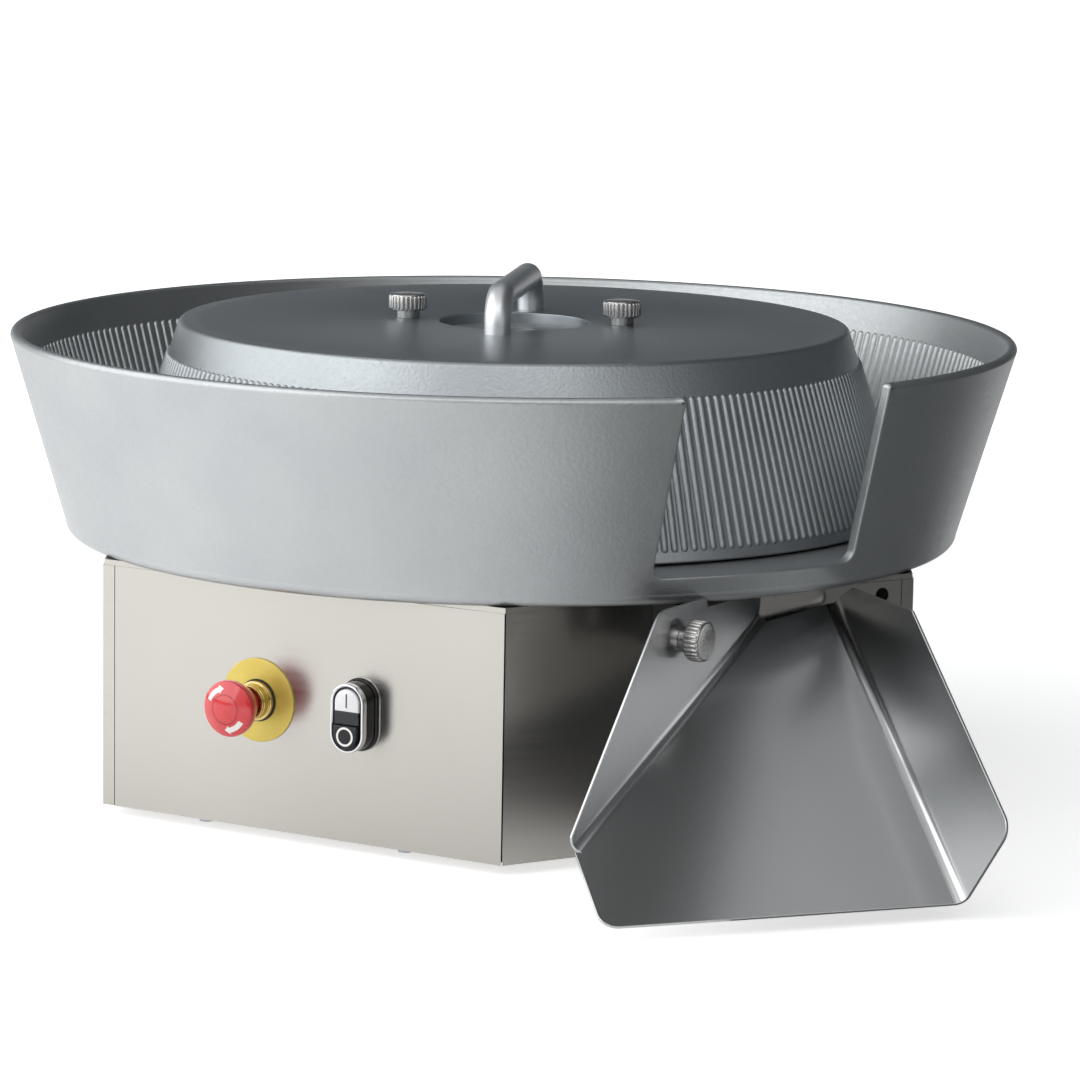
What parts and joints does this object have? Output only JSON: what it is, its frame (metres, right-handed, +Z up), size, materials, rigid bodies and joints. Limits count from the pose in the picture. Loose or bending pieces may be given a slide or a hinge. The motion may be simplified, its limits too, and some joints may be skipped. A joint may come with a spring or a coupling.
{
  "type": "dough rounder",
  "caption": "Countertop conical dough rounder: ribbed cone turning in a flared ribbed bowl on a six-sided steel base, with start, stop and emergency controls and a removable outlet chute.",
  "frame": {"origin": "on the bowl axis, at the table under the feet", "axes": "+Z up along the bowl axis; the control panel faces -Y and the chute falls towards +X and -Y"},
  "size_m": [0.8948, 0.7838, 0.382],
  "materials": {
    "stainless": "directional brushed stainless sheet",
    "bowl_cast": "fine blasted, clear anodised casting",
    "cone_cast": "hard anodised casting",
    "handle_bar": "satin anodised bar",
    "knob_steel": "turned and knurled stainless steel",
    "zinc": "bright zinc plate",
    "gear_iron": "grey enamel on casting",
    "bearing_steel": "ground bearing steel",
    "bronze": "machined bronze",
    "rubber": "moulded rubber",
    "motor_paint": "grey enamel",
    "black_plastic": "moulded plastic",
    "grey_plastic": "moulded plastic",
    "estop_yellow": "satin yellow enamel",
    "estop_gilt": "gilt passivated metal",
    "estop_red": "moulded plastic",
    "chrome": "bright chrome",
    "lens": "dark lamp lens",
    "white_plastic": "moulded plastic",
    "gloss_black": "moulded plastic"
  },
  "bodies": {
    "base": {"base_pan": "stainless", "rubber_feet": "rubber", "foot_bolts": "zinc", "control_panel": "stainless", "chute_panel": "stainless", "body_shell": "stainless", "deck_plate": "stainless", "deck_screws": "zinc", "panel_screws": "zinc", "bowl": "bowl_cast", "bowl_screws": "zinc", "gearbox_housing": "gear_iron", "gearbox_cover": "gear_iron", "gearbox_bolts": "zinc", "upper_bearing": "bearing_steel", "lower_bearing": "bearing_steel", "shaft_seal": "rubber", "motor_body": "motor_paint", "motor_fan_cover": "motor_paint", "motor_terminal_box": "motor_paint", "din_rail": "zinc", "contactor": "grey_plastic", "cable_gland": "black_plastic", "estop_plate": "estop_yellow", "estop_collar": "estop_gilt", "estop_contact_block": "black_plastic", "twin_body": "gloss_black", "twin_bezel": "chrome", "twin_lens": "lens", "twin_contact_block": "black_plastic", "chute_bracket": "stainless", "chute_ledge": "stainless", "bracket_screws": "zinc"},
    "drive": {"drive_shaft": "bearing_steel", "worm_wheel": "bronze", "shaft_keys": "zinc", "drive_hub": "bowl_cast", "hub_screw": "zinc"},
    "worm": {"worm_shaft": "bearing_steel", "motor_fan": "black_plastic"},
    "cone": {"cone": "cone_cast", "cone_handle": "handle_bar", "handle_screws": "zinc"},
    "cone_knob_left": {"cone_knob_left": "knob_steel"},
    "cone_knob_right": {"cone_knob_right": "knob_steel"},
    "estop_stem": {"estop_stem": "estop_red"},
    "estop_head": {"estop_head": "estop_red"},
    "start_button": {"start_button": "white_plastic"},
    "stop_button": {"stop_button": "gloss_black"},
    "chute": {"chute": "stainless"},
    "chute_knob": {"chute_knob": "knob_steel"}
  },
  "joints": [
    {"name": "drive_turn", "type": "hinge", "parent": "base", "child": "drive", "pos_m": [0, 0, 0.25], "axis": [0, 0, 1], "continuous": true},
    {"name": "worm_turn", "type": "hinge", "parent": "base", "child": "worm", "pos_m": [0, 0.063, 0.11], "axis": [1, 0, 0], "continuous": true},
    {"name": "cone_lift", "type": "slide", "parent": "drive", "child": "cone", "axis": [0, 0, 1], "range_m": [0, 0.18]},
    {"name": "cone_knob_left_turn", "type": "hinge", "parent": "cone", "child": "cone_knob_left", "pos_m": [-0.0751, -0.03034, 0.345], "axis": [0, 0, 1], "continuous": true},
    {"name": "cone_knob_right_turn", "type": "hinge", "parent": "cone", "child": "cone_knob_right", "pos_m": [0.0751, 0.03034, 0.345], "axis": [0, 0, 1], "continuous": true},
    {"name": "estop_push", "type": "slide", "parent": "base", "child": "estop_stem", "axis": [0, 1, 0], "range_m": [0, 0.005]},
    {"name": "estop_twist", "type": "hinge", "parent": "estop_stem", "child": "estop_head", "pos_m": [-0.033, -0.32099, 0.101], "axis": [0, 1, 0], "range_deg": [0, 45]},
    {"name": "start_push", "type": "slide", "parent": "base", "child": "start_button", "axis": [0, 1, 0], "range_m": [0, 0.0025], "stiffness_N_per_m": 800},
    {"name": "stop_push", "type": "slide", "parent": "base", "child": "stop_button", "axis": [0, 1, 0], "range_m": [0, 0.0025], "stiffness_N_per_m": 800},
    {"name": "chute_off", "type": "slide", "parent": "base", "child": "chute", "axis": [1, 0, 0], "range_m": [0, 0.12]},
    {"name": "chute_knob_turn", "type": "hinge", "parent": "chute", "child": "chute_knob", "pos_m": [0.27282, -0.22918, 0.169], "axis": [1, 0, 0], "continuous": true}
  ],
  "couplings": [
    {"joint": "worm_turn", "follows": "drive_turn", "ratio": 18}
  ]
}
